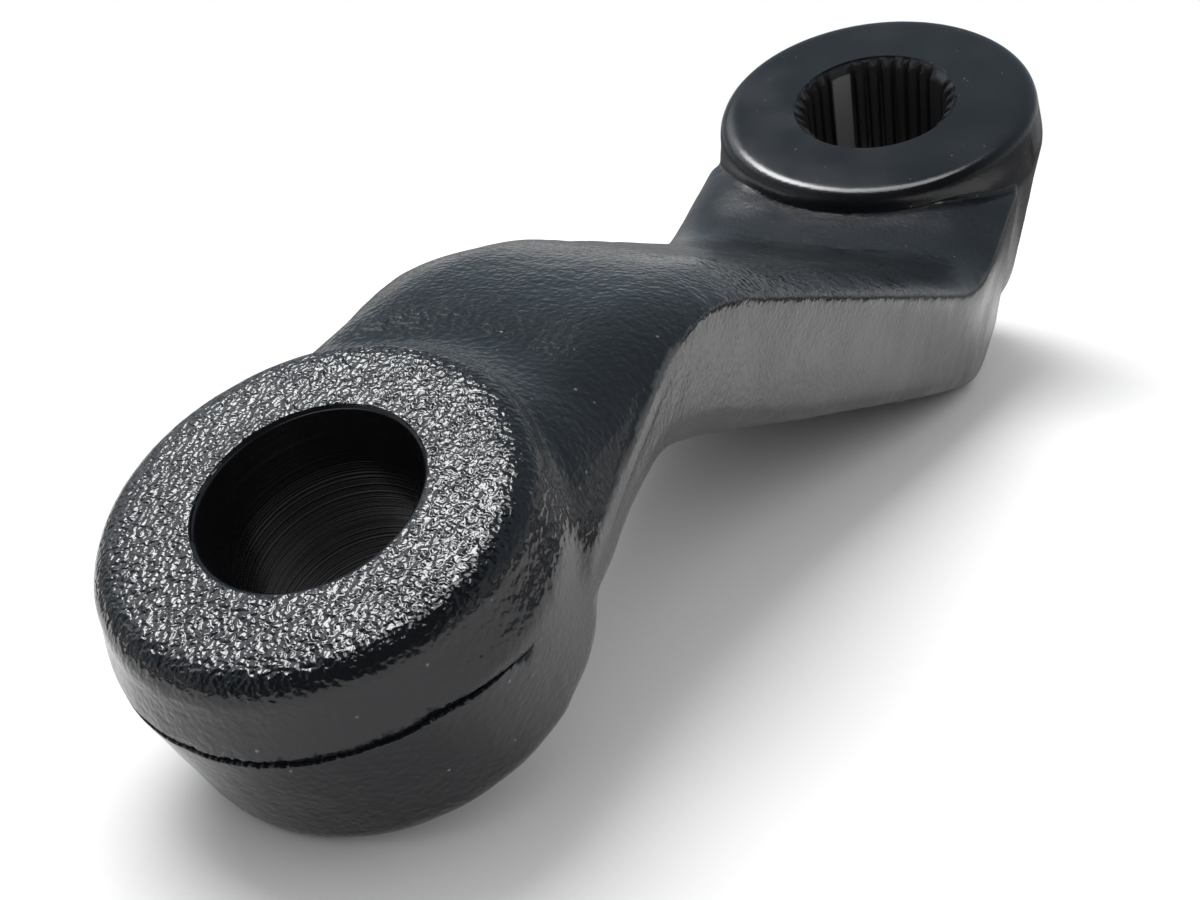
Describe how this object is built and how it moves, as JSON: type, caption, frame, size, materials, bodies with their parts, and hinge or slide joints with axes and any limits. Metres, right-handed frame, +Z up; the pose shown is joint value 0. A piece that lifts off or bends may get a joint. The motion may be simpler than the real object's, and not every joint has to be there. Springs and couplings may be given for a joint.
{
  "type": "pitman arm",
  "caption": "Forged steel drop pitman arm: a serrated hub and a tapered eye joined by an S-bent web, painted black.",
  "frame": {"origin": "middle of the serrated bore, on its axis", "axes": "+Z up from the bench the arm lies on, +X along the bench from hub to eye, +Y to the left when looking along +X; the bores lean 30.3 degrees from +Z towards +X"},
  "size_m": [0.2578, 0.0684, 0.0712],
  "materials": {
    "black_paint": "gloss black paint over forging scale, orange-peel texture"
  },
  "bodies": {
    "root": {"pitman_arm": "black_paint"}
  },
  "joints": []
}
